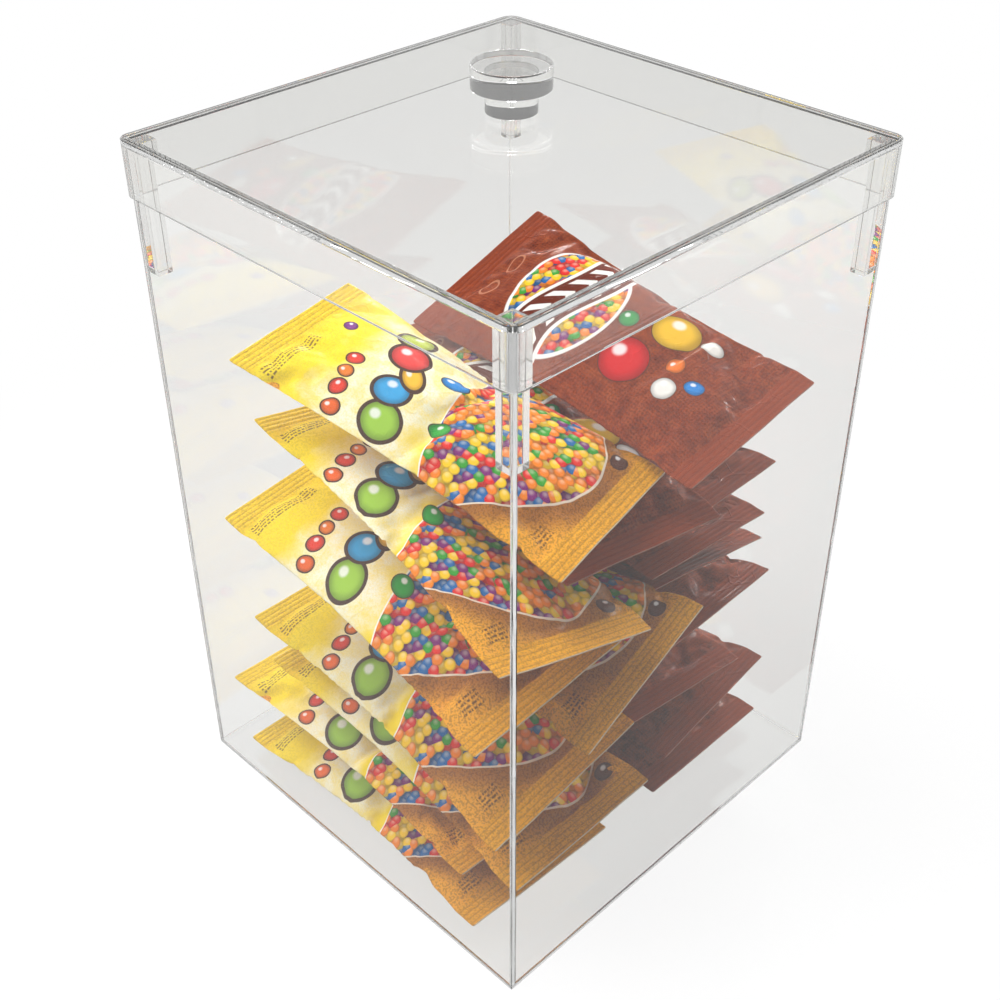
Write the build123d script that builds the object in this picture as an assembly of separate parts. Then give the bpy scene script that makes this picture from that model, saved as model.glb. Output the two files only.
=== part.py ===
"""Square clear acrylic bin with a lift-off lid, a two-disc knob and sealed packs of candy inside.

Millimetres. +Z is up and the origin is the middle of the underside of the floor panel.
-X is left, +X is right, -Y is front and +Y is rear.
"""

import os
from math import cos, radians, sin, tan

from build123d import *

# ---- Bin ----------------------------------------------------------------------------------
bin_side = 293.0  # outside, square
bin_height = 447.0  # underside of the floor to the rim
wall_sheet = 3.0  # acrylic sheet of the walls
floor_sheet = 3.0  # acrylic sheet of the floor
bar_side = 9.5  # square bars glued into the rim's inner corners
bar_length = 76.0

# ---- Lid ----------------------------------------------------------------------------------
lid_sheet = 3.0  # the flat plate
skirt_sheet = 3.0  # the strips round its edge
skirt_depth = 30.0  # below the plate
lid_clearance = 0.5  # skirt to bin wall, each side
lid_corner_radius = 8.0  # outer corners of plate and skirt

# ---- Knob ---------------------------------------------------------------------------------
neck_diameter = 30.0
neck_height = 13.0
cap_diameter = 46.0
cap_height = 14.0
cap_edge_radius = 1.0
knob_set_back = 27.0  # from the middle of the lid, to the left and to the rear alike

# ---- Candy packs --------------------------------------------------------------------------
pack_end_room = 26.5  # wall to pack end, when the pack lies in the middle
pack_side_room = 31.5  # what a pack is narrower than half of the inside width
pack_thickness = 31.5  # at the crown of the pillow
seal_length = 16.0  # flat crimped strip at each end
seal_thickness = 1.6
waist_share = 0.88  # width of the filled middle, as a share of the seal's width
pack_gap = 0.4  # between a pack and what carries it

# Half of a pack's cross-section, from the flat of the crown out to the side fold:
# shares of the half width and of the half thickness.
pillow_outline = [(0.45, 1.0), (0.8, 0.7), (1.0, 0.0)]
# Cross-sections along half of the filled length, as shares of it.
pillow_stations = [0.0, 0.4, 0.75, 1.0]
pillow_fullness = 0.55  # lower is fuller towards the seals

# How each pack lies, from the bottom of the heap to the top: its place to the right and to the
# rear, as shares of the way from the middle to where it would touch a wall, then its turn seen
# from above, its rise towards its right end, and the roll of its left and right end about its
# own length, in degrees. A pack's height isn't given, because it rests on what lies below it.
heap = [
    ("yellow", -0.15, -0.93, -2, 2, 4, 1),
    ("yellow", -0.8, -0.88, -1, -2, 0, -2),
    ("yellow", 0.75, -0.82, -2, -5, 0, 6),
    ("yellow", 0.3, -0.85, -2, -5, 3, 14),
    ("brown", -0.25, 0.9, 0, -2, 0, 1),
    ("brown", -0.25, 0.9, 3, 0, 0, 8),
    ("brown", -0.52, 0.75, -5, -3, 4, -1),
    ("brown", -0.4, 0.92, 1, 7, 0, 2),
    ("brown", -0.7, 0.92, -1, 9, 0, -9),
    ("yellow", 0.75, -0.41, 5, -2, 0, 19),
    ("brown", -0.65, 0.89, -1, -2, 0, -3),
    ("brown", -0.55, 0.9, 0, -1, 0, 2),
    ("yellow", 0.0, -0.93, -2, -9, 10, 9),
    ("yellow", 0.3, -0.7, -5, -13, -8, -14),
    ("brown", -0.2, 0.27, -12, -11, 1, 2),
    ("yellow", -0.55, -0.45, 10, -14, 2, 5),
    ("brown", 0.22, 0.89, -1, -6, 20, 12),
]

# ---- Derived sizes ------------------------------------------------------------------------
half_bin = bin_side / 2
room = bin_side - 2 * wall_sheet  # inside width
wall_height = bin_height - floor_sheet
lid_side = bin_side + 2 * (lid_clearance + skirt_sheet)
lid_top = bin_height + lid_sheet
knob_place = Location((-knob_set_back, knob_set_back, lid_top))

pack_length = room - 2 * pack_end_room
pack_width = room / 2 - pack_side_room
fill_length = pack_length - 2 * seal_length
play_along = (room - pack_length) / 2
play_across = (room - pack_width) / 2


def write(name, solid):
    solid.label = name
    export_step(solid, f"parts/{name}.step")


# ---- Bin pieces ---------------------------------------------------------------------------
def floor_panel():
    return Pos(0, 0, floor_sheet / 2) * Box(bin_side, bin_side, floor_sheet)


def wall(width, across_x, offset):
    """One wall standing on the floor panel; its middle plane is offset from the centre."""
    size = (wall_sheet, width) if across_x else (width, wall_sheet)
    place = (offset, 0) if across_x else (0, offset)
    return Pos(*place, floor_sheet + wall_height / 2) * Box(*size, wall_height)


def corner_bar(to_right, to_rear):
    """Square bar in an inner corner of the rim, flush with the rim."""
    reach = room / 2 - bar_side / 2
    level = bin_height - bar_length / 2
    return Pos(to_right * reach, to_rear * reach, level) * Box(bar_side, bar_side, bar_length)


# ---- Lid pieces ---------------------------------------------------------------------------
def lid_plate():
    outline = RectangleRounded(lid_side, lid_side, lid_corner_radius)
    return Pos(0, 0, bin_height) * extrude(outline, lid_sheet)


def skirt_strip(quarter):
    """One of four strips below the plate's edge, mitred at the corners; quarter 0 is the right one."""
    inner = lid_side - 2 * skirt_sheet
    frame = RectangleRounded(lid_side, lid_side, lid_corner_radius) - Rectangle(inner, inner)
    mitre = make_face(Polyline((0, 0), (lid_side, -lid_side), (lid_side, lid_side), close=True))
    outline = frame & (Rot(0, 0, 90 * quarter) * mitre)
    return Pos(0, 0, bin_height - skirt_depth) * extrude(outline, skirt_depth)


def knob_neck():
    return knob_place * extrude(Circle(neck_diameter / 2), neck_height)


def knob_cap():
    disc = extrude(Circle(cap_diameter / 2), cap_height)
    disc = fillet(disc.edges().filter_by(GeomType.CIRCLE), cap_edge_radius)
    return knob_place * Pos(0, 0, neck_height) * disc


# ---- Candy packs --------------------------------------------------------------------------
def section_size(share):
    """Half width and half thickness of a pack, at a share of the filled half length."""
    swell = 1 - share**2
    width = pack_width * (1 - (1 - waist_share) * swell)
    thickness = seal_thickness + (pack_thickness - seal_thickness) * swell**pillow_fullness
    return width / 2, thickness / 2


def stations():
    """Places along a pack, from its left end to its right end, with the section at each."""
    right = [(share * fill_length / 2, *section_size(share)) for share in pillow_stations]
    right.append((pack_length / 2, *section_size(1.0)))
    left = [(-u, width, thickness) for u, width, thickness in right[:0:-1]]
    return left + right


pack_stations = stations()


def section_at(u):
    """Half width and half thickness of a pack at u along it, or None beyond its ends."""
    for (u0, w0, t0), (u1, w1, t1) in zip(pack_stations, pack_stations[1:]):
        if u0 <= u <= u1:
            share = (u - u0) / (u1 - u0)
            return w0 + (w1 - w0) * share, t0 + (t1 - t0) * share
    return None


def pillow_height(reach):
    """Height of the cross-section at a share of its half width, as a share of the crown's."""
    if reach <= pillow_outline[0][0]:
        return pillow_outline[0][1]
    for (r0, h0), (r1, h1) in zip(pillow_outline, pillow_outline[1:]):
        if reach <= r1:
            return h0 + (h1 - h0) * (reach - r0) / (r1 - r0)
    return None


class Pack:
    """A pillow pack with a crimped seal at each end, lying in the heap."""

    def __init__(self, colour, right, rear, turn, rise, roll_left, roll_right):
        self.colour = colour
        self.x = right * play_along
        self.y = rear * play_across
        self.turn = radians(turn)
        self.rise = tan(radians(rise))
        self.roll_left = tan(radians(roll_left))
        self.roll_right = tan(radians(roll_right))
        self.z = 0.0

    def sheet_height(self, u, v):
        """Height of the middle sheet over the pack's centre, at u along and v across the pack."""
        share = u / pack_length + 0.5
        return self.rise * u + (self.roll_left * (1 - share) + self.roll_right * share) * v

    def spot(self, u, v):
        """Plan position of a point of the pack."""
        return (
            self.x + u * cos(self.turn) - v * sin(self.turn),
            self.y + u * sin(self.turn) + v * cos(self.turn),
        )

    def spots(self):
        """Plan positions all over the pack, its side folds and ends included."""
        along, across = 8, 20
        places = [self.spot(pack_length / 2, 0)]
        for (near, _, _), (far, _, _) in zip(pack_stations, pack_stations[1:]):
            for i in range(along):
                u = near + (far - near) * i / along
                width = section_at(u)[0]
                places += [self.spot(u, width * j / across) for j in range(-across, across + 1)]
        return places

    def layer_at(self, x, y):
        """Underside and top over the pack's centre at a plan position, or None beside the pack."""
        dx, dy = x - self.x, y - self.y
        u = dx * cos(self.turn) + dy * sin(self.turn)
        v = -dx * sin(self.turn) + dy * cos(self.turn)
        section = section_at(u)
        height = pillow_height(abs(v) / section[0]) if section else None
        if height is None:
            return None
        middle = self.sheet_height(u, v)
        return middle - height * section[1], middle + height * section[1]

    def settle(self, carriers):
        """Lowers the pack until it lies one gap above the floor or the packs below it."""
        own_spots = self.spots()
        undersides = [self.layer_at(x, y) for x, y in own_spots]
        levels = [floor_sheet - layer[0] for layer in undersides if layer]
        for carrier in carriers:
            for x, y in own_spots + carrier.spots():
                over, under = self.layer_at(x, y), carrier.layer_at(x, y)
                if over and under:
                    levels.append(carrier.z + under[1] - over[0])
        self.z = max(levels) + pack_gap

    def section(self, u, width, thickness):
        """Closed outline of the pack across its length, right side first, crown and then underside."""
        upper = [(reach, height) for reach, height in reversed(pillow_outline)]
        upper += [(-reach, height) for reach, height in pillow_outline]
        lower = [(reach, -height) for reach, height in reversed(upper[1:-1])]
        points = []
        for reach, height in upper + lower:
            v = reach * width
            x, y = self.spot(u, v)
            points.append(Vector(x, y, self.z + self.sheet_height(u, v) + height * thickness))
        return points

    def solid(self):
        """Flat-sided solid through all cross-sections."""
        rings = [self.section(*station) for station in pack_stations]
        faces = [Face(Wire.make_polygon(ring)) for ring in (rings[0], rings[-1])]
        for near, far in zip(rings, rings[1:]):
            for i in range(len(near)):
                k = (i + 1) % len(near)
                faces.append(Face(Wire.make_polygon([near[i], near[k], far[k]])))
                faces.append(Face(Wire.make_polygon([near[i], far[k], far[i]])))
        return Solid(Shell(faces))


def candy_packs():
    """The heap, settled from the bottom up."""
    settled = []
    for lie in heap:
        pack = Pack(*lie)
        pack.settle(settled)
        settled.append(pack)
    return settled


# ---- Write every piece --------------------------------------------------------------------
os.makedirs("parts", exist_ok=True)

write("floor_panel", floor_panel())
wall_offset = half_bin - wall_sheet / 2
write("front_wall", wall(bin_side, False, -wall_offset))
write("rear_wall", wall(bin_side, False, wall_offset))
write("left_wall", wall(room, True, -wall_offset))
write("right_wall", wall(room, True, wall_offset))

for depth_name, to_rear in (("front", -1), ("rear", 1)):
    for side_name, to_right in (("left", -1), ("right", 1)):
        write(f"corner_bar_{depth_name}_{side_name}", corner_bar(to_right, to_rear))

write("lid_plate", lid_plate())
for quarter, side_name in enumerate(("right", "rear", "left", "front")):
    write(f"lid_skirt_{side_name}", skirt_strip(quarter))
write("knob_neck", knob_neck())
write("knob_cap", knob_cap())

count = {"yellow": 0, "brown": 0}
for pack in candy_packs():
    count[pack.colour] += 1
    write(f"candy_pack_{pack.colour}_{count[pack.colour]}", pack.solid())
    print(f"candy_pack_{pack.colour}_{count[pack.colour]} centre {pack.x:.1f} {pack.y:.1f} {pack.z:.2f}")
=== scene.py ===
import math

import bmesh
import bpy
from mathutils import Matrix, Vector, noise


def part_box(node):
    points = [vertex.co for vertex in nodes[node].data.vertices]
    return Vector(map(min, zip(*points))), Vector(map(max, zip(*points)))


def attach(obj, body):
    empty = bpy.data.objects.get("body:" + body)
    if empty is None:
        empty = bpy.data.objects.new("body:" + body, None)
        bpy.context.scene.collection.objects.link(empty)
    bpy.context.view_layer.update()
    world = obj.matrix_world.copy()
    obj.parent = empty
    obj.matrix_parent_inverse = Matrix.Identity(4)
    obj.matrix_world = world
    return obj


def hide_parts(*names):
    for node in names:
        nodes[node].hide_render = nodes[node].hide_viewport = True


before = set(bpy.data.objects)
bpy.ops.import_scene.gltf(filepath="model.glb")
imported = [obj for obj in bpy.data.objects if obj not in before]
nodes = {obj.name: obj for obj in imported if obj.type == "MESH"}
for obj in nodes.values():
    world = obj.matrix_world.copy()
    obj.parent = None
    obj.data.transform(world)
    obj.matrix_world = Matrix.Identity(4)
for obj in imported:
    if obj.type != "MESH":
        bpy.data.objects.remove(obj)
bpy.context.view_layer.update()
scene = bpy.context.scene
print("frame loaded:", len(nodes), "nodes")


def srgb(red, green, blue):
    # a colour as picked on screen, 0 to 255, turned to the linear value that shaders take
    def linear(level):
        level /= 255
        return level / 12.92 if level <= 0.04045 else ((level + 0.055) / 1.055) ** 2.4

    return (linear(red), linear(green), linear(blue), 1.0)


def link(obj):
    scene.collection.objects.link(obj)
    return obj


# the camera
camera = {
    "place": (0.5203, -0.5227, 0.7412),
    "lookAt": (-0.0010, -0.0010, 0.2166),
    "focalLength": 51.97,
    "sensorWidth": 36,
    "shift": (-0.0090, -0.0066),
    "nearest": 0.05,
}


def makeCamera():
    view = link(bpy.data.objects.new("camera", bpy.data.cameras.new("camera")))
    view.location = camera["place"]
    aim = Vector(camera["lookAt"]) - view.location
    view.rotation_euler = aim.to_track_quat("-Z", "Y").to_euler()
    view.data.lens = camera["focalLength"]
    view.data.sensor_width = camera["sensorWidth"]
    view.data.shift_x, view.data.shift_y = camera["shift"]
    view.data.clip_start = camera["nearest"]
    scene.camera = view


makeCamera()


# a small kit for building materials out of nodes
class Paint:
    def __init__(self, owner):
        owner.use_nodes = True
        self.owner = owner
        self.tree = owner.node_tree
        self.tree.nodes.clear()

    def node(self, kind, **settings):
        made = self.tree.nodes.new("ShaderNode" + kind)
        for name, value in settings.items():
            setattr(made, name, value)
        return made

    def put(self, socket, value):
        if isinstance(value, bpy.types.NodeSocket):
            self.tree.links.new(value, socket)
        else:
            socket.default_value = value

    def math(self, operation, *values):
        made = self.node("Math", operation=operation)
        for socket, value in zip(made.inputs, values):
            self.put(socket, value)
        return made.outputs[0]

    def add(self, a, b):
        return self.math("ADD", a, b)

    def subtract(self, a, b):
        return self.math("SUBTRACT", a, b)

    def multiply(self, a, b):
        return self.math("MULTIPLY", a, b)

    def both(self, *masks):
        joined = masks[0]
        for mask in masks[1:]:
            joined = self.multiply(joined, mask)
        return joined

    def fade(self, value, low, high):
        # 0 below low, 1 above high, smooth between; low may be the larger
        made = self.node("MapRange", interpolation_type="SMOOTHSTEP")
        self.put(made.inputs["Value"], value)
        flipped = low > high
        self.put(made.inputs["From Min"], high if flipped else low)
        self.put(made.inputs["From Max"], low if flipped else high)
        self.put(made.inputs["To Min"], 1.0 if flipped else 0.0)
        self.put(made.inputs["To Max"], 0.0 if flipped else 1.0)
        return made.outputs["Result"]

    def near(self, value, centre, halfWidth, softness):
        # 1 within halfWidth of the centre
        distance = self.math("ABSOLUTE", self.subtract(value, centre))
        return self.fade(distance, halfWidth + softness, halfWidth)

    def over(self, under, colour, mask):
        # the mix node's colour sockets are 6 and 7
        made = self.node("Mix", data_type="RGBA")
        self.put(made.inputs[0], mask)
        self.put(made.inputs[6], under)
        self.put(made.inputs[7], colour)
        return made.outputs[2]

    def darken(self, colour, amount, mask):
        made = self.node("Mix", data_type="RGBA", blend_type="MULTIPLY")
        self.put(made.inputs[0], mask)
        self.put(made.inputs[6], colour)
        self.put(made.inputs[7], (amount, amount, amount, 1))
        return made.outputs[2]

    def ramp(self, value, stops, interpolation="LINEAR"):
        made = self.node("ValToRGB")
        made.color_ramp.interpolation = interpolation
        elements = made.color_ramp.elements
        while len(elements) < len(stops):
            elements.new(0.5)
        for element, (place, colour) in zip(elements, stops):
            element.position = place
            element.color = colour
        self.put(made.inputs[0], value)
        return made.outputs[0]

    def noise(self, vector, scale, detail=2.0, roughness=0.5):
        made = self.node("TexNoise")
        self.put(made.inputs["Vector"], vector)
        made.inputs["Scale"].default_value = scale
        made.inputs["Detail"].default_value = detail
        made.inputs["Roughness"].default_value = roughness
        return made.outputs["Fac"]

    def cells(self, vector, feature, randomness=1.0):
        made = self.node("TexVoronoi", voronoi_dimensions="2D", feature=feature)
        made.inputs["Scale"].default_value = 1.0
        made.inputs["Randomness"].default_value = randomness
        self.put(made.inputs["Vector"], vector)
        return made.outputs

    def vector(self, x, y, z=0.0):
        made = self.node("CombineXYZ")
        for socket, value in zip(made.inputs, (x, y, z)):
            self.put(socket, value)
        return made.outputs[0]


# clear acrylic: polished sheet and rod
acrylic = {
    "tint": srgb(253, 253, 252),
    "lampTint": srgb(251, 251, 251),
    "bendsLight": 1.49,
    "depthTint": (0.08, 0.1, 0.1, 1),
    "density": 0.5,  # greys the long way along a sheet, as at its edges
    "sharpFrom": 30,  # degrees between two faces of a solid whose edge is polished
    "edge": 0.0004,  # flame-polished edges
    "edgeSteps": 2,
    "flatWithin": 20,  # degrees, above which shading breaks
    "glueLine": 0.00003,  # kept clear between pieces, so that each one bends light on its own
    "mergeWithin": 0.000001,
    "sameFace": 0.5,  # degrees between triangles that are one flat face
}


def makeAcrylic():
    paint = Paint(bpy.data.materials.new("clearAcrylic"))
    glass = paint.node("BsdfPrincipled")
    glass.inputs["Base Color"].default_value = acrylic["tint"]
    glass.inputs["Transmission Weight"].default_value = 1.0
    glass.inputs["Roughness"].default_value = 0.0
    glass.inputs["IOR"].default_value = acrylic["bendsLight"]
    clear = paint.node("BsdfTransparent")
    clear.inputs["Color"].default_value = acrylic["lampTint"]
    ray = paint.node("LightPath")
    mix = paint.node("MixShader")
    paint.put(mix.inputs[0], ray.outputs["Is Shadow Ray"])
    paint.put(mix.inputs[1], glass.outputs[0])
    paint.put(mix.inputs[2], clear.outputs[0])
    depth = paint.node("VolumeAbsorption")
    depth.inputs["Color"].default_value = acrylic["depthTint"]
    depth.inputs["Density"].default_value = acrylic["density"]
    out = paint.node("OutputMaterial")
    paint.put(out.inputs[0], mix.outputs[0])
    paint.put(out.inputs[1], depth.outputs[0])
    return paint.owner


clearAcrylic = makeAcrylic()


def edgesFrom(shape, degrees):
    return [edge for edge in shape.edges if edge.calc_face_angle(0) > math.radians(degrees)]


def finishAcrylic(shape, name, body):
    # drawn in by the glue line, shaded flat but for the round corners
    shape.normal_update()
    shrunk = [(v, v.normal * v.calc_shell_factor() * acrylic["glueLine"]) for v in shape.verts]
    for vertex, step in shrunk:
        vertex.co -= step
    mesh = bpy.data.meshes.new(name)
    shape.to_mesh(mesh)
    shape.free()
    mesh.polygons.foreach_set("use_smooth", [True] * len(mesh.polygons))
    mesh.set_sharp_from_angle(angle=math.radians(acrylic["flatWithin"]))
    mesh.materials.append(clearAcrylic)
    piece = link(bpy.data.objects.new("clear_" + name, mesh))
    level = piece.modifiers.new("flatFaces", "WEIGHTED_NORMAL")
    level.keep_sharp = True
    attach(piece, body)
    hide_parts(name)


def polishSheet(name, body):
    # a sheet or bar with its edges broken, on a merged copy of its solid
    shape = bmesh.new()
    shape.from_mesh(nodes[name].data)
    bmesh.ops.remove_doubles(shape, verts=shape.verts, dist=acrylic["mergeWithin"])
    bmesh.ops.dissolve_limit(
        shape, angle_limit=math.radians(acrylic["sameFace"]), verts=shape.verts, edges=shape.edges
    )
    bmesh.ops.bevel(
        shape, geom=edgesFrom(shape, acrylic["sharpFrom"]), offset=acrylic["edge"],
        affect="EDGES", segments=acrylic["edgeSteps"], profile=0.5, material=-1,
        clamp_overlap=True,
    )
    finishAcrylic(shape, name, body)


# the knob: a disc on a narrower neck
knob = {
    "sides": 96,
    "capRounding": 0.001,
    "neckRounding": 0.0002,
    "roundingSteps": 5,
    "rimFrom": 60,  # degrees between a disc's side and its flat faces
}


def turnDisc(name, rounding):
    # a round knob part, as wide and as high as its solid
    low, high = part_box(name)
    middle = (low + high) / 2
    size = high - low
    shape = bmesh.new()
    bmesh.ops.create_cone(
        shape, cap_ends=True, segments=knob["sides"],
        radius1=size.x / 2, radius2=size.x / 2, depth=size.z,
    )
    bmesh.ops.translate(shape, vec=middle, verts=shape.verts)
    bmesh.ops.bevel(
        shape, geom=edgesFrom(shape, knob["rimFrom"]), offset=rounding,
        affect="EDGES", segments=knob["roundingSteps"], profile=0.5, material=-1,
        clamp_overlap=True,
    )
    finishAcrylic(shape, name, "lid")


packNodes = [name for name in nodes if name.startswith("candy_pack")]
for name in nodes:
    if name.startswith(("floor", "corner")) or name.endswith("wall"):
        polishSheet(name, "bin")
    elif name.startswith("lid"):
        polishSheet(name, "lid")
turnDisc("knob_neck", knob["neckRounding"])
turnDisc("knob_cap", knob["capRounding"])
print("acrylic polished:", len(nodes) - len(packNodes), "pieces")


# the film bags: a flat tube of film, sealed at both ends and blown up to a pillow
bag = {
    "size": (0.234, 0.112, 0.0315),
    "seal": 0.016,
    "cell": 0.003,
    "filmGap": 0.0012,  # between the two films where they are sealed
    "stepsPerMetre": 100000,  # tells the cells apart when they are sorted
    "waist": 0.05,  # taken in along the filled part before it is blown up
    "shapes": 3,
    "unevenness": 0.0007,  # of the flat film, so that the shapes crease each in its own way
    "unevenScale": 40,
    "seedStep": 7.3,
    "slack": 0.035,  # how much longer the film is than the bag
    "pressure": 4.0,
    "frames": 28,
    "ridgePitch": 0.0036,
    "ridgeHeight": 0.00025,
    "columnsPerMetre": 500,  # for the bag's width along its length
    "overWidth": 1.01,
    "overfill": 1.35,  # presses the bag against the packs above and below it
    "pressedFlat": 5,  # the higher, the flatter it lies against them
}

# how the film behaves while the bag is blown up
filmCloth = {
    "quality": 6,
    "mass": 0.05,
    "stretch": 40,
    "press": 15,
    "shear": 10,
    "bend": 0.5,
    "airDamping": 4,
}

# the room that a pack's solid leaves for its film
pillow = {
    "edgeHalf": 0.0008,
    "narrowing": 0.12,  # of the width at mid length
    "crownPower": 0.55,
    "sidePower": 2.6,
    "sideRoundness": 0.75,
    "spare": 0.0003,
}

packLength, packWidth, packThickness = bag["size"]
fillHalf = packLength / 2 - bag["seal"]


def packCorners(name):
    # the four outer corners of a pack's seals: left near, left far, right far, right near
    points = [vertex.co for vertex in nodes[name].data.vertices]
    return [
        max(points, key=lambda p: p.x * toRight + p.y * toRear)
        for toRight, toRear in ((-1, -1), (-1, 1), (1, 1), (1, -1))
    ]


def placeInBag(cell):
    # sorting takes one number, made here of the steps along, across and up
    corners = [cell] if isinstance(cell, bmesh.types.BMVert) else cell.verts
    middle = sum((corner.co for corner in corners), Vector()) / len(corners)
    along, across, up = (round(length * bag["stepsPerMetre"]) for length in middle)
    return (along * bag["stepsPerMetre"] + across) * bag["stepsPerMetre"] + up


def flatBag():
    # both films as one closed sheet in square cells
    shape = bmesh.new()
    columns = round(packLength / bag["cell"])
    rows = round(packWidth / bag["cell"])
    bmesh.ops.create_grid(shape, x_segments=columns, y_segments=rows, size=0.5)
    bmesh.ops.scale(shape, vec=(packLength, packWidth, 1), verts=shape.verts)
    film = shape.loops.layers.uv.new("film")
    for face in shape.faces:
        for corner in face.loops:
            place = corner.vert.co
            corner[film].uv = (place.x / packLength + 0.5, place.y / packWidth + 0.5)
    upper = shape.faces[:]
    made = bmesh.ops.extrude_face_region(shape, geom=upper)["geom"]
    lifted = [item for item in made if isinstance(item, bmesh.types.BMVert)]
    bmesh.ops.translate(shape, vec=(0, 0, bag["filmGap"]), verts=lifted)
    bmesh.ops.recalc_face_normals(shape, faces=shape.faces)
    # the order of the cells is fixed, so that the simulation gives the same bag every time
    for cells in (shape.verts, shape.edges, shape.faces):
        cells.sort(key=placeInBag)
        cells.index_update()
    for face in shape.faces:
        if face.normal.z < -0.5:
            for corner in face.loops:
                corner[film].uv.y = 2 - corner[film].uv.y  # the back runs on round the fold
    for vertex in shape.verts:
        share = min(abs(vertex.co.x) / fillHalf, 1)
        vertex.co.y *= 1 - bag["waist"] * (1 - share**6)
        vertex.co.z -= bag["filmGap"] / 2
    return shape


def blowUp(seed):
    # air pushes the films apart; the seals are held, so the film puckers beside them
    shape = flatBag()
    for vertex in shape.verts:
        along, across = vertex.co.x * bag["unevenScale"], vertex.co.y * bag["unevenScale"]
        spot = Vector((along, across, seed * bag["seedStep"]))
        vertex.co.z += bag["unevenness"] * noise.noise(spot)
    mesh = bpy.data.meshes.new("bag")
    shape.to_mesh(mesh)
    shape.free()
    obj = link(bpy.data.objects.new("bag", mesh))
    held = obj.vertex_groups.new(name="seal")
    sealed = [v.index for v in mesh.vertices if abs(v.co.x) > fillHalf]
    held.add(sealed, 1.0, "REPLACE")
    cloth = obj.modifiers.new("film", "CLOTH")
    film = cloth.settings
    film.vertex_group_mass = "seal"
    film.quality = filmCloth["quality"]
    film.mass = filmCloth["mass"]
    film.tension_stiffness = filmCloth["stretch"]
    film.compression_stiffness = filmCloth["press"]
    film.shear_stiffness = filmCloth["shear"]
    film.bending_stiffness = filmCloth["bend"]
    film.use_pressure = True
    film.uniform_pressure_force = bag["pressure"]
    film.shrink_min = -bag["slack"]
    film.effector_weights.gravity = 0
    film.air_damping = filmCloth["airDamping"]
    cloth.collision_settings.use_self_collision = False
    cloth.point_cache.frame_end = bag["frames"] + 1
    for step in range(1, bag["frames"] + 1):
        scene.frame_set(step)
    blown = obj.evaluated_get(bpy.context.evaluated_depsgraph_get())
    result = bpy.data.meshes.new_from_object(blown)
    bpy.data.objects.remove(obj)
    scene.frame_set(1)
    return result


def roomAt(x, y):
    # half the height that a pack's solid leaves at x along and y across it, and its half width
    share = min(abs(x) / fillHalf, 1)
    swell = 1 - share**2
    halfWidth = packWidth / 2 * (1 - pillow["narrowing"] * swell)
    edge = pillow["edgeHalf"]
    crown = edge + (packThickness / 2 - edge) * swell ** pillow["crownPower"]
    reach = min(abs(y) / halfWidth, 1)
    side = max(1 - reach ** pillow["sidePower"], 0) ** pillow["sideRoundness"]
    return crown * side + pillow["spare"], halfWidth


def fitBag(mesh):
    # the blown bag is pressed flat to the room that the packs above and below leave it
    def column(x):
        return round(x * bag["columnsPerMetre"])

    widest = {}
    for vertex in mesh.vertices:
        place = column(vertex.co.x)
        widest[place] = max(widest.get(place, 0), abs(vertex.co.y))
    power = bag["pressedFlat"]
    for vertex in mesh.vertices:
        x, y, z = vertex.co
        room, halfWidth = roomAt(x, y)
        y *= min(1, halfWidth * bag["overWidth"] / widest[column(x)])
        room, halfWidth = roomAt(x, y)
        if abs(x) < fillHalf:
            fill = abs(z) * bag["overfill"] / room
            z = math.copysign(room * fill / (1 + fill**power) ** (1 / power), z)
        else:
            fromEnd = packLength / 2 - abs(x)
            z += bag["ridgeHeight"] * math.sin(2 * math.pi * fromEnd / bag["ridgePitch"])
        vertex.co = (x, y, z)
    return mesh


def refine(mesh):
    # one round of subdivision, kept in the mesh
    obj = link(bpy.data.objects.new("fine", mesh))
    smooth = obj.modifiers.new("fine", "SUBSURF")
    smooth.levels = smooth.render_levels = 1
    fine = bpy.data.meshes.new_from_object(
        obj.evaluated_get(bpy.context.evaluated_depsgraph_get())
    )
    bpy.data.objects.remove(obj)
    return fine


def layPack(name, shape):
    # a pack's own sheet is twisted between its four corners, as its solid is
    nearLeft, farLeft, farRight, nearRight = packCorners(name)
    mesh = shape.copy()
    for vertex in mesh.vertices:
        along = vertex.co.x / packLength + 0.5
        across = vertex.co.y / packWidth + 0.5
        near = nearLeft.lerp(nearRight, along)
        far = farLeft.lerp(farRight, along)
        vertex.co = near.lerp(far, across) + Vector((0, 0, vertex.co.z))
    mesh.polygons.foreach_set("use_smooth", [True] * len(mesh.polygons))
    return mesh


# printed film: all patterns are in millimetres along and across the bag
print("film materials")
lengthMm = packLength * 1000
widthMm = packWidth * 1000

candyColours = [
    (0.0, srgb(246, 134, 20)),
    (0.32, srgb(252, 205, 25)),
    (0.56, srgb(228, 38, 32)),
    (0.73, srgb(50, 158, 45)),
    (0.84, srgb(22, 104, 172)),
    (0.94, srgb(128, 28, 120)),
]

candyLook = {
    "disorder": 0.8,
    "radius": 0.55,
    "softEdge": 0.03,
    "rim": (0.36, 0.56),
    "rimShade": 0.62,
    "shineTone": srgb(255, 250, 225),
    "shine": 0.3,
    "shineReach": 0.42,
    "shineOffset": (-0.16, 0.2, 0),
    "lowerShift": 0.43,
    "lowerShade": 0.6,
}


def filmPlace(paint):
    uv = paint.node("UVMap", uv_map="film")
    split = paint.node("SeparateXYZ")
    paint.put(split.inputs[0], uv.outputs[0])
    along = paint.multiply(split.outputs[0], lengthMm)
    across = paint.multiply(split.outputs[1], widthMm)
    return along, across


def objectPlace(paint):
    return paint.node("TexCoord").outputs["Object"]


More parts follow.
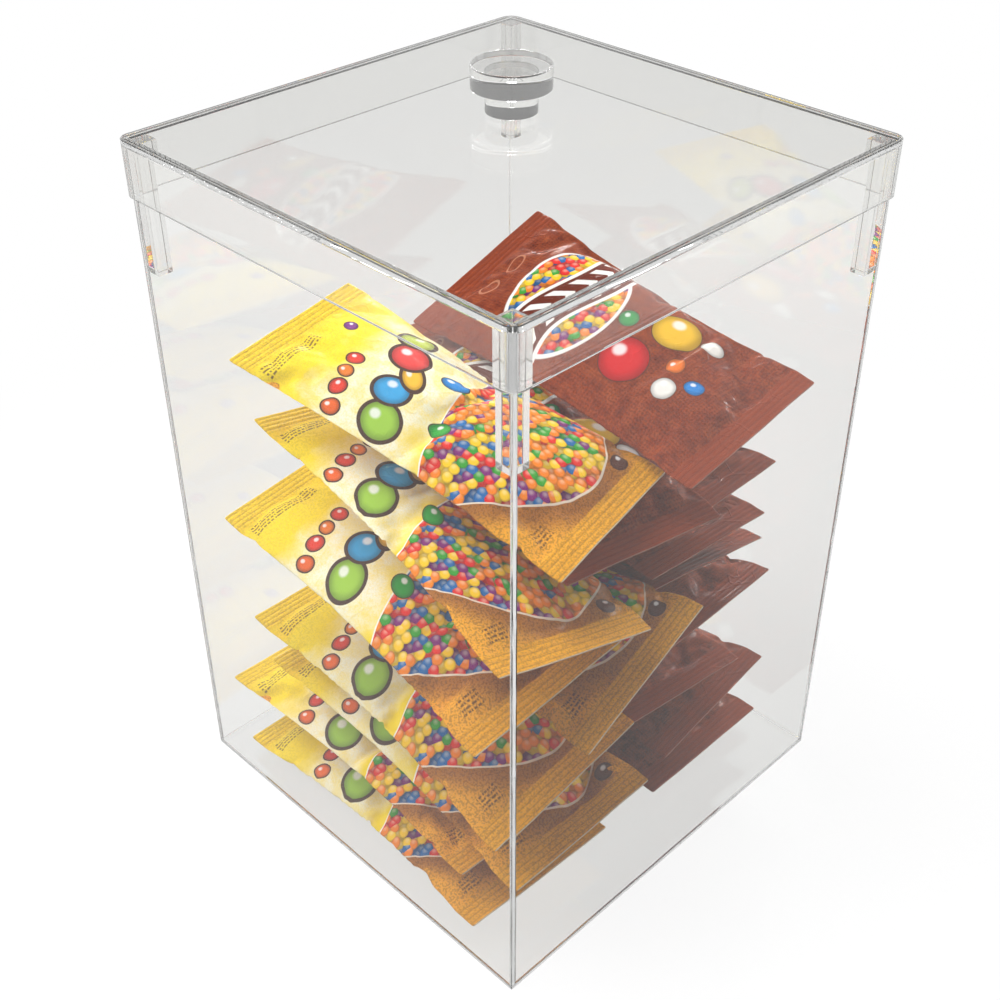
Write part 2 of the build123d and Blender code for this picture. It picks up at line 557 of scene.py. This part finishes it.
def candyLayer(paint, along, across, size, shift):
    # round sweets, one in each cell, lit from the upper left
    place = paint.vector(
        paint.add(paint.multiply(along, 1 / size), shift),
        paint.add(paint.multiply(across, 1 / size), shift * 1.7),
    )
    cell = paint.cells(place, "F1", candyLook["disorder"])
    split = paint.node("SeparateColor")
    paint.put(split.inputs[0], cell["Color"])
    colour = paint.ramp(split.outputs[0], candyColours, "CONSTANT")
    reach = cell["Distance"]
    colour = paint.darken(colour, candyLook["rimShade"], paint.fade(reach, *candyLook["rim"]))
    centre = paint.node("VectorMath", operation="ADD")
    paint.put(centre.inputs[0], cell["Position"])
    centre.inputs[1].default_value = candyLook["shineOffset"]
    lit = paint.node("VectorMath", operation="DISTANCE")
    paint.put(lit.inputs[0], place)
    paint.put(lit.inputs[1], centre.outputs[0])
    spot = paint.fade(lit.outputs["Value"], candyLook["shineReach"], 0.0)
    shine = paint.multiply(spot, candyLook["shine"])
    colour = paint.over(colour, candyLook["shineTone"], shine)
    radius = candyLook["radius"]
    return colour, paint.fade(reach, radius + candyLook["softEdge"], radius)


def candyPrint(paint, along, across, size):
    # a crowd of sugar-coated sweets, the upper ones over others in their shade
    below, _ = candyLayer(paint, along, across, size, candyLook["lowerShift"])
    below = paint.darken(below, candyLook["lowerShade"], 1.0)
    above, mask = candyLayer(paint, along, across, size, 0.0)
    return paint.over(below, above, mask)


def turned(paint, along, across, centre, turn):
    # the place seen from a centre and turned by some degrees
    x = paint.subtract(along, centre[0])
    y = paint.subtract(across, centre[1])
    cosTurn, sinTurn = math.cos(math.radians(turn)), math.sin(math.radians(turn))
    u = paint.add(paint.multiply(x, cosTurn), paint.multiply(y, sinTurn))
    v = paint.subtract(paint.multiply(y, cosTurn), paint.multiply(x, sinTurn))
    return u, v


def distance(paint, u, v):
    return paint.math("SQRT", paint.add(paint.multiply(u, u), paint.multiply(v, v)))


# one large sugar-coated button; its measures are in its own radii
buttonLook = {
    "outline": srgb(70, 42, 32),
    "softEdge": 0.03,
    "rim": (0.55, 1.05),
    "rimShade": 0.55,
    "shine": 0.75,
    "shineOffset": (-0.35, 0.3),
    "shineSize": 0.34,
}


def button(paint, under, along, across, centre, radii, turn, colour, outline=0.0):
    # a dark rim line, a shaded edge and a bright spot; the centre is in shares of the bag
    middle = (centre[0] * lengthMm, centre[1] * widthMm)
    u, v = turned(paint, along, across, middle, turn)

    def ring(offset, share):
        du = paint.multiply(paint.subtract(u, offset[0] * radii[0]), 1 / (radii[0] * share))
        dv = paint.multiply(paint.subtract(v, offset[1] * radii[1]), 1 / (radii[1] * share))
        return distance(paint, du, dv)

    reach = ring((0, 0), 1)
    if outline:
        grown = 1 + outline / min(radii)
        line = paint.fade(reach, grown + buttonLook["softEdge"], grown)
        under = paint.over(under, buttonLook["outline"], line)
    body = paint.darken(colour, buttonLook["rimShade"], paint.fade(reach, *buttonLook["rim"]))
    spot = ring(buttonLook["shineOffset"], buttonLook["shineSize"])
    shine = paint.multiply(paint.fade(spot, 1.1, 0.5), buttonLook["shine"])
    body = paint.over(body, (1, 1, 1, 1), shine)
    return paint.over(under, body, paint.fade(reach, 1.03, 0.99))


# rows of short broken strokes, too small to be anything but a grey block
smallPrint = {
    "rowPitch": 2.7,
    "rowHalf": 0.2,
    "rowSoft": 0.08,
    "strokes": 0.7,  # to a millimetre along a row
    "broken": (0.42, 0.5),
    "strength": 0.85,
}


def finePrint(paint, under, along, across, block, colour):
    # the block's first and last millimetre along, and its reach across in shares of the bag
    first, last, low, high = block[0], block[1], block[2] * widthMm, block[3] * widthMm
    row = paint.multiply(along, 1 / smallPrint["rowPitch"])
    stripe = paint.near(
        paint.math("FRACT", row), 0.5, smallPrint["rowHalf"], smallPrint["rowSoft"]
    )
    strokes = paint.multiply(across, smallPrint["strokes"])
    steps = paint.vector(paint.math("FLOOR", row), strokes, 0)
    broken = paint.fade(paint.noise(steps, 1.0, 0.0), *smallPrint["broken"])
    inside = paint.both(
        paint.fade(along, first - 0.3, first), paint.fade(along, last + 0.3, last),
        paint.fade(across, low - 0.5, low), paint.fade(across, high + 0.5, high),
    )
    mask = paint.multiply(paint.both(stripe, broken, inside), smallPrint["strength"])
    return paint.over(under, colour, mask)


def frontOnly(paint, across):
    # 1 on the front of the bag, 0 past the fold
    return paint.fade(across, widthMm + 1.5, widthMm - 0.5)


def filmGrain(paint, spot):
    return paint.fade(paint.noise(spot, 800, 1), 0.45, 0.62)


def sealRidges(paint, along):
    # distance from the nearer end, where the seal is, and the wave of its ridges
    sealMm, pitchMm = bag["seal"] * 1000, bag["ridgePitch"] * 1000
    fromEnd = paint.math("MINIMUM", along, paint.subtract(lengthMm, along))
    seal = paint.fade(fromEnd, sealMm + 0.6, sealMm - 0.6)
    wave = paint.math("SINE", paint.multiply(fromEnd, 2 * math.pi / pitchMm))
    return fromEnd, seal, wave


# dents and creases of the filled bag; the scales are to a metre, the crease cells in millimetres
crinkles = {
    "dentScale": 150,
    "dents": 0.7,
    "bendScale": 60,
    "bend": 1.3,
    "creaseCell": (24, 30),
    "creaseHalf": 0.06,
    "creases": 0.5,
    "patchScale": 22,
    "patches": (0.46, 0.6),
}


def crinkle(paint, spot, along, across):
    # soft dents with a few sharp creases between them
    dents = paint.noise(spot, crinkles["dentScale"], 3)
    bend = paint.multiply(paint.noise(spot, crinkles["bendScale"], 2), crinkles["bend"])
    cellLong, cellWide = crinkles["creaseCell"]
    place = paint.vector(
        paint.add(paint.multiply(along, 1 / cellLong), bend),
        paint.add(paint.multiply(across, 1 / cellWide), bend),
    )
    gap = paint.cells(place, "DISTANCE_TO_EDGE")["Distance"]
    some = paint.fade(paint.noise(spot, crinkles["patchScale"], 1), *crinkles["patches"])
    crease = paint.multiply(paint.fade(gap, crinkles["creaseHalf"], 0.0), some)
    return paint.add(
        paint.multiply(dents, crinkles["dents"]), paint.multiply(crease, crinkles["creases"])
    )


filmBump = {"strength": 0.6, "distance": 0.0006}


def finishFilm(paint, colour, height, roughness, specular):
    film = paint.node("BsdfPrincipled")
    paint.put(film.inputs["Base Color"], colour)
    paint.put(film.inputs["Roughness"], roughness)
    film.inputs["Specular IOR Level"].default_value = specular
    bump = paint.node("Bump")
    bump.inputs["Strength"].default_value = filmBump["strength"]
    bump.inputs["Distance"].default_value = filmBump["distance"]
    paint.put(bump.inputs["Height"], height)
    paint.put(film.inputs["Normal"], bump.outputs[0])
    out = paint.node("OutputMaterial")
    paint.put(out.inputs[0], film.outputs[0])
    return paint.owner


# the yellow film; the window's edges are shares of the bag's length, curved over its width
yellowFilm = {
    "gold": srgb(246, 206, 26),
    "oldGold": srgb(240, 170, 28),
    "bright": srgb(252, 222, 30),
    "cream": srgb(252, 247, 220),
    "amber": srgb(244, 170, 38),
    "amberShade": srgb(172, 106, 36),
    # painted shade in the seal's grooves
    "line": srgb(150, 100, 18),
    "ink": srgb(84, 54, 26),
    "paleEdge": srgb(250, 244, 225),
    "borderRight": srgb(246, 232, 214),
    "borderLeft": srgb(255, 252, 240),
    "drift": 50,  # millimetres by which the clouds shift the background colours
    "windowRight": 0.9,
    "rightBow": 0.21,
    "bowMiddle": 0.6,
    "windowLeft": 0.49,
    "leftBow": 0.09,
    "candySize": 6.2,
    "sheen": 0.08,
    "ridges": 0.35,
    # centre in shares of the bag, radii, turn, colour and outline
    "buttons": (
        ((0.415, 0.15), (11.0, 12.5), 20, srgb(160, 205, 70), 2.2),
        ((0.385, 0.35), (10.0, 10.5), -20, srgb(60, 165, 222), 2.2),
        ((0.395, 0.51), (6.0, 10.5), 35, srgb(247, 190, 50), 2.0),
        ((0.345, 0.64), (11.0, 12.0), 15, srgb(232, 70, 66), 2.2),
        ((0.310, 0.82), (8.0, 11.0), -30, srgb(190, 205, 60), 2.0),
        ((0.475, 0.67), (8.0, 6.0), 30, srgb(45, 140, 215), 0.5),
        ((0.540, 0.33), (8.0, 6.5), -25, srgb(45, 160, 60), 0.5),
        ((0.155, 0.63), (4.6, 4.0), -20, srgb(120, 40, 130), 0.4),
        ((0.292, 0.07), (5.2, 4.6), 30, srgb(238, 104, 34), 0.9),
        ((0.275, 0.19), (5.0, 5.4), -15, srgb(226, 60, 40), 0.9),
        ((0.262, 0.30), (4.2, 4.8), 45, srgb(242, 128, 36), 0.9),
        ((0.252, 0.41), (5.2, 4.8), 0, srgb(226, 60, 40), 0.9),
        ((0.9, 0.86), (5.0, 7.0), 10, srgb(92, 52, 40), 0.0),
    ),
    "printBlocks": (
        (18.9, 29.7, 0.04, 0.46),
        (202.5, 213.3, 0.1, 0.22),
        (60, 120, 1.2, 1.75),
    ),
}


def makeYellowFilm():
    look = yellowFilm
    paint = Paint(bpy.data.materials.new("yellowFilm"))
    along, across = filmPlace(paint)
    spot = objectPlace(paint)
    cloud = paint.noise(spot, 38, 3)
    drift = paint.multiply(paint.subtract(cloud, 0.5), look["drift"])
    share = paint.multiply(paint.add(along, drift), 1 / lengthMm)
    colour = paint.ramp(share, [
        (0.0, look["gold"]),
        (0.08, look["gold"]),
        (0.12, look["bright"]),
        (0.20, look["bright"]),
        (0.29, look["cream"]),
        (0.48, look["cream"]),
        (0.56, look["bright"]),
    ])
    grain = filmGrain(paint, spot)
    patches = paint.fade(paint.noise(spot, 95, 2), 0.42, 0.6)
    colour = paint.over(colour, look["bright"], paint.multiply(patches, 0.4))
    colour = paint.over(colour, look["bright"], paint.multiply(grain, 0.3))
    colour = paint.darken(colour, 0.62, paint.both(grain, paint.fade(share, 0.3, 0.1), 0.45))

    # the amber end beyond the sweets
    bowMiddle = widthMm * look["bowMiddle"]
    bow = paint.multiply(paint.subtract(across, bowMiddle), 1 / bowMiddle)
    bowed = paint.multiply(paint.multiply(bow, bow), lengthMm * look["rightBow"])
    past = paint.subtract(along, paint.subtract(lengthMm * look["windowRight"], bowed))
    # painted shade: darker amber next to the sweets, lighter towards the seal
    amber = paint.over(look["amberShade"], look["amber"], paint.fade(past, 4, 30))
    amber = paint.darken(amber, 0.42, paint.multiply(grain, 0.7))
    colour = paint.over(colour, amber, paint.fade(past, -0.4, 0.4))

    # the printed window of sweets between the cream and the amber
    slant = paint.subtract(1.0, paint.multiply(across, 1 / widthMm))
    bowed = paint.multiply(paint.multiply(slant, slant), lengthMm * look["leftBow"])
    edgeLeft = paint.add(lengthMm * look["windowLeft"], bowed)
    front = frontOnly(paint, across)
    window = paint.both(
        paint.fade(paint.subtract(along, edgeLeft), -0.3, 0.3), paint.fade(past, 0.3, -0.3), front
    )
    colour = paint.over(colour, candyPrint(paint, along, across, look["candySize"]), window)
    border = paint.multiply(paint.near(past, 0.4, 0.5, 0.4), front)
    colour = paint.over(colour, look["borderRight"], paint.multiply(border, 0.85))
    border = paint.multiply(paint.near(paint.subtract(along, edgeLeft), -0.3, 0.3, 0.4), front)
    colour = paint.over(colour, look["borderLeft"], border)

    # large sweets tumbling over the cream, small print beside them
    for centre, radii, turn, tone, outline in look["buttons"]:
        colour = button(paint, colour, along, across, centre, radii, turn, tone, outline)
    for block in look["printBlocks"]:
        colour = finePrint(paint, colour, along, across, block, look["ink"])

    # the seals
    fromEnd, seal, wave = sealRidges(paint, along)
    sealTone = paint.over(
        look["gold"], look["oldGold"], paint.fade(along, 0.4 * lengthMm, 0.6 * lengthMm)
    )
    sealTone = paint.darken(sealTone, 0.45, paint.multiply(grain, 0.5))
    colour = paint.over(colour, sealTone, paint.multiply(seal, 0.85))
    # painted shade: the seal's grooves are drawn darker in the line colour, as shade in the
    # crimp's hollows
    grooveShade = paint.fade(wave, -0.45, -0.95)
    streaks = paint.vector(paint.multiply(across, 0.08), fromEnd)
    streak = paint.fade(paint.noise(streaks, 1.0), 0.2, 0.5)
    colour = paint.over(colour, look["line"], paint.both(seal, grooveShade, streak, 0.42))
    edge = paint.multiply(paint.fade(fromEnd, 0.9, 0.5), 0.7)
    colour = paint.over(colour, look["paleEdge"], edge)
    ridges = paint.multiply(paint.multiply(wave, seal), look["ridges"])
    height = paint.add(crinkle(paint, spot, along, across), ridges)
    rough = paint.add(0.2, paint.multiply(cloud, 0.12))
    return finishFilm(paint, colour, height, rough, look["sheen"])


# the brown film; centres are in shares of the bag, other measures in millimetres
brownFilm = {
    "cocoa": srgb(144, 58, 22),
    "cocoaLight": srgb(168, 80, 36),
    "cocoaDeep": srgb(104, 34, 10),
    "white": srgb(250, 248, 244),
    "sheen": 0.1,
    "linkTone": srgb(196, 132, 100),
    "paleEdge": srgb(196, 150, 130),
    "weavePitch": 4.4,
    "candySize": 6.2,
    "ovalCentre": (0.34, 0.52),
    "ovalRadii": (33, 47),
    "ovalTurn": 8,
    "ribbonPlace": 0.345,
    "ribbonSway": 6.0,
    "ribbonHalf": 14.4,
    "ribbonBorder": 2.8,
    "chevronHalf": 9.0,
    "chevronPitch": 17,
    "chevronSlope": 0.9,
    "linkCentres": ((0.118, 0.36), (0.118, 0.58)),
    "linkRadii": (4.2, 7.5),
    "ridges": 0.25,
    # centre in shares of the bag, radii, turn, colour and outline
    "buttons": (
        ((0.600, 0.36), (15.0, 17.0), 15, srgb(212, 36, 40), 0.5),
        ((0.640, 0.72), (14.0, 16.0), -20, srgb(240, 190, 45), 0.5),
        ((0.515, 0.60), (6.0, 7.0), 10, srgb(45, 150, 70), 0.3),
        ((0.715, 0.52), (6.0, 7.5), 30, srgb(235, 120, 40), 0.3),
        ((0.745, 0.34), (7.0, 8.0), -10, srgb(246, 242, 236), 0.3),
        ((0.800, 0.46), (6.0, 6.5), 0, srgb(40, 130, 205), 0.3),
        ((0.735, 0.80), (7.5, 6.0), 20, srgb(246, 242, 236), 0.3),
    ),
}


def makeBrownFilm():
    look = brownFilm
    paint = Paint(bpy.data.materials.new("brownFilm"))
    along, across = filmPlace(paint)
    spot = objectPlace(paint)
    cloud = paint.noise(spot, 140, 6, 0.7)
    colour = paint.ramp(cloud, [
        (0.28, look["cocoaDeep"]),
        (0.48, look["cocoa"]),
        (0.70, look["cocoaLight"]),
    ])
    grain = filmGrain(paint, spot)
    colour = paint.darken(colour, 0.5, paint.multiply(grain, 0.55))
    step = 2 * math.pi / look["weavePitch"]
    threads = paint.multiply(
        paint.math("SINE", paint.multiply(paint.add(along, across), step)),
        paint.math("SINE", paint.multiply(paint.subtract(along, across), step)),
    )
    colour = paint.darken(colour, 0.72, paint.fade(threads, -0.1, 0.6))
    front = frontOnly(paint, across)

    def oval(centre, radii, turn):
        middle = (centre[0] * lengthMm, centre[1] * widthMm)
        u, v = turned(paint, along, across, middle, turn)
        return distance(paint, paint.multiply(u, 1 / radii[0]), paint.multiply(v, 1 / radii[1]))

    # an oval window of sweets, crossed by a plain ribbon
    reach = oval(look["ovalCentre"], look["ovalRadii"], look["ovalTurn"])
    border = paint.multiply(paint.fade(reach, 1.07, 1.04), front)
    colour = paint.over(colour, look["white"], border)
    sweets = candyPrint(paint, along, across, look["candySize"])
    colour = paint.over(colour, sweets, paint.multiply(paint.fade(reach, 1.0, 0.98), front))
    sway = paint.multiply(
        paint.math("SINE", paint.multiply(across, 0.055)), look["ribbonSway"]
    )
    fromMiddle = paint.subtract(paint.add(along, sway), look["ribbonPlace"] * lengthMm)
    ribbon = paint.math("ABSOLUTE", fromMiddle)
    ends = paint.both(
        paint.fade(across, 0.06 * widthMm, 0.08 * widthMm),
        paint.fade(across, 0.94 * widthMm, 0.92 * widthMm),
    )

    def band(half):
        return paint.fade(ribbon, half, half - 0.4)

    inner = look["ribbonHalf"] - look["ribbonBorder"]
    colour = paint.over(colour, look["white"], paint.multiply(band(look["ribbonHalf"]), ends))
    colour = paint.over(colour, look["cocoaDeep"], paint.multiply(band(inner), ends))
    climb = paint.add(across, paint.multiply(ribbon, look["chevronSlope"]))
    zigzag = paint.math("FRACT", paint.multiply(climb, 1 / look["chevronPitch"]))
    bars = paint.both(paint.near(zigzag, 0.5, 0.19, 0.02), band(look["chevronHalf"]), ends)
    colour = paint.over(colour, look["white"], bars)

    for centre, radii, turn, tone, outline in look["buttons"]:
        colour = button(paint, colour, along, across, centre, radii, turn, tone, outline)

    # two pale links beside the left seal
    for centre in look["linkCentres"]:
        line = paint.near(oval(centre, look["linkRadii"], 0), 1.0, 0.09, 0.05)
        colour = paint.over(colour, look["linkTone"], paint.multiply(line, 0.8))

    # the seals
    fromEnd, seal, wave = sealRidges(paint, along)
    colour = paint.over(colour, look["cocoa"], paint.multiply(seal, 0.85))
    # painted shade: the seal's grooves are drawn darker in deep cocoa, as shade in the crimp's
    # hollows
    grooveShade = paint.fade(wave, -0.2, -0.9)
    paintedGrooveShade = paint.multiply(paint.both(seal, grooveShade), 0.35)
    colour = paint.over(colour, look["cocoaDeep"], paintedGrooveShade)
    edge = paint.multiply(paint.fade(fromEnd, 0.8, 0.4), 0.6)
    colour = paint.over(colour, look["paleEdge"], edge)
    ridges = paint.multiply(paint.multiply(wave, seal), look["ridges"])
    height = paint.add(crinkle(paint, spot, along, across), ridges)
    rough = paint.add(0.1, paint.multiply(cloud, 0.1))
    return finishFilm(paint, colour, height, rough, look["sheen"])


films = {"yellow": makeYellowFilm(), "brown": makeBrownFilm()}

shapes = [refine(fitBag(blowUp(seed))) for seed in range(bag["shapes"])]
print("bag shapes blown up:", len(shapes))

for index, name in enumerate(sorted(packNodes)):
    colour = "yellow" if "yellow" in name else "brown"
    mesh = layPack(name, shapes[index % len(shapes)])
    mesh.materials.clear()
    mesh.materials.append(films[colour])
    film = link(bpy.data.objects.new(name.replace("candy_pack", "film_pack"), mesh))
    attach(film, "bin")
    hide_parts(name)
print("packs laid:", len(packNodes))


# floor and sky; to the camera both are white, and the tones below are what the glass shows
studio = {
    "floorSide": 6.0,
    "floorDrop": 0.0004,
    "paper": (0.86, 0.86, 0.86, 1),
    "white": (1, 1, 1, 1),
    "floorShadow": 0.12,  # share of the floor's tone that comes from the light falling on it
    "nearAndFar": (0.2, 0.7),  # metres from the bin
    # the near tones are lower than the far ones: a painted shadow around the bin
    "mirroredNear": 0.36,
    "mirroredFar": 0.5,
    "throughGlassNear": 0.96,
    "throughGlassFar": 1.0,
    "mirroredInside": 1.0,  # in the far walls, beyond the first sheet
    "throughEdges": 0.28,  # mirrored a few times inside a sheet's edge
    "alongSheets": 0.92,  # mirrored over and over along a sheet
    "timesMirrored": (7, 12),  # between those two
    "lightIn": 0.35,  # share of those tones that lights what is inside the bin
    "domeRise": (0.05, 0.45),
    "domeMirrored": 0.14,  # overhead
    "domeThroughGlass": 0.42,
    "skyLight": 0.55,
    "bounces": 96,
    "clearBounces": 32,
}


def seenTones(paint, mirrored, throughGlass):
    # white to the camera, toned down where it is mirrored or seen through glass; light that
    # has gone through glass counts as a glossy ray too, so the glossy depth tells them apart
    ray = paint.node("LightPath")
    mirrorings = ray.outputs["Glossy Depth"]
    once = paint.math("GREATER_THAN", mirrorings, 0.5)
    again = paint.math("GREATER_THAN", mirrorings, 1.5)
    inside = paint.math("GREATER_THAN", ray.outputs["Transmission Depth"], 3.5)
    mirrored = paint.math(
        "MAXIMUM", mirrored, paint.multiply(inside, studio["mirroredInside"])
    )
    along = paint.fade(mirrorings, *studio["timesMirrored"])
    edges = paint.add(
        studio["throughEdges"],
        paint.multiply(along, studio["alongSheets"] - studio["throughEdges"]),
    )
    mirrored = paint.add(
        paint.multiply(mirrored, paint.subtract(1.0, again)), paint.multiply(again, edges)
    )
    mirror = paint.both(once, ray.outputs["Is Glossy Ray"], mirrored)
    lights = paint.fade(ray.outputs["Diffuse Depth"], 0.4, 0.6)
    straight = paint.both(
        paint.subtract(1.0, once), ray.outputs["Is Transmission Ray"], throughGlass,
        paint.subtract(1.0, paint.multiply(lights, 1 - studio["lightIn"])),
    )
    tones = paint.math("MAXIMUM", mirror, straight)
    return paint.math("MAXIMUM", tones, ray.outputs["Is Camera Ray"])


def makeFloor():
    shape = bmesh.new()
    bmesh.ops.create_grid(shape, x_segments=2, y_segments=2, size=studio["floorSide"] / 2)
    bmesh.ops.translate(shape, vec=(0, 0, -studio["floorDrop"]), verts=shape.verts)
    mesh = bpy.data.meshes.new("floor")
    shape.to_mesh(mesh)
    shape.free()
    paint = Paint(bpy.data.materials.new("floorPaper"))
    paper = paint.node("BsdfDiffuse")
    paper.inputs["Color"].default_value = studio["paper"]
    glow = paint.node("Emission")
    glow.inputs["Color"].default_value = studio["white"]
    away = paint.node("VectorMath", operation="LENGTH")
    paint.put(away.inputs[0], objectPlace(paint))
    spread = paint.fade(away.outputs["Value"], *studio["nearAndFar"])

    # painted shadow: the tones are lower near the bin, so the floor seen in and through the glass
    # is darker around it
    def tone(near, far):
        return paint.add(near, paint.multiply(spread, far - near))

    tones = seenTones(
        paint,
        tone(studio["mirroredNear"], studio["mirroredFar"]),
        tone(studio["throughGlassNear"], studio["throughGlassFar"]),
    )
    paint.put(glow.inputs["Strength"], tones)
    seen = paint.math("GREATER_THAN", tones, 0.01)
    shadow = paint.multiply(paint.subtract(1.0, spread), studio["floorShadow"])
    mix = paint.node("MixShader")
    paint.put(mix.inputs[0], paint.multiply(seen, paint.subtract(1.0, shadow)))
    paint.put(mix.inputs[1], paper.outputs[0])
    paint.put(mix.inputs[2], glow.outputs[0])
    out = paint.node("OutputMaterial")
    paint.put(out.inputs[0], mix.outputs[0])
    mesh.materials.append(paint.owner)
    floor = link(bpy.data.objects.new("floor", mesh))


def makeSky():
    paint = Paint(bpy.data.worlds.new("studio"))
    scene.world = paint.owner
    direction = paint.node("SeparateXYZ")
    paint.put(direction.inputs[0], paint.node("TexCoord").outputs["Generated"])
    risen = paint.fade(direction.outputs[2], *studio["domeRise"])

    def tone(overhead):
        return paint.subtract(1.0, paint.multiply(risen, 1 - overhead))

    tones = seenTones(paint, tone(studio["domeMirrored"]), tone(studio["domeThroughGlass"]))
    plain = paint.multiply(paint.math("LESS_THAN", tones, 0.01), studio["skyLight"])
    sky = paint.node("Background")
    sky.inputs["Color"].default_value = studio["white"]
    paint.put(sky.inputs["Strength"], paint.add(tones, plain))
    paint.put(paint.node("OutputWorld").inputs[0], sky.outputs[0])


# the large lamps only light the surfaces; the two small ones make the sparks on the acrylic
lamps = {
    "key": {"place": (-1.0, -0.9, 1.2), "size": 0.9, "power": 23, "mirrored": False},
    "fill": {"place": (1.3, 0.1, 1.0), "size": 0.8, "power": 4, "mirrored": False},
    "top": {"place": (-0.45, -0.3, 1.6), "size": 0.8, "power": 17, "mirrored": False},
    "spark": {"place": (-0.8, 0.8, 0.62), "size": 0.15, "power": 4.5, "mirrored": True},
    "glint": {"place": (0.2, 1.3, 0.7), "size": 0.15, "power": 4.5, "mirrored": True},
}
lampsAim = Vector((0, 0, 0.22))


def makeLamps():
    for name, lamp in lamps.items():
        light = bpy.data.lights.new(name, "AREA")
        light.size = lamp["size"]
        light.energy = lamp["power"]
        holder = link(bpy.data.objects.new(name, light))
        holder.location = lamp["place"]
        holder.visible_glossy = holder.visible_transmission = lamp["mirrored"]
        aim = lampsAim - holder.location
        holder.rotation_euler = aim.to_track_quat("-Z", "Y").to_euler()


makeFloor()
makeSky()
makeLamps()
scene.view_settings.view_transform = "Standard"
scene.cycles.max_bounces = studio["bounces"]
scene.cycles.transmission_bounces = studio["bounces"]
scene.cycles.glossy_bounces = studio["bounces"]
scene.cycles.transparent_max_bounces = studio["clearBounces"]
print("studio ready")
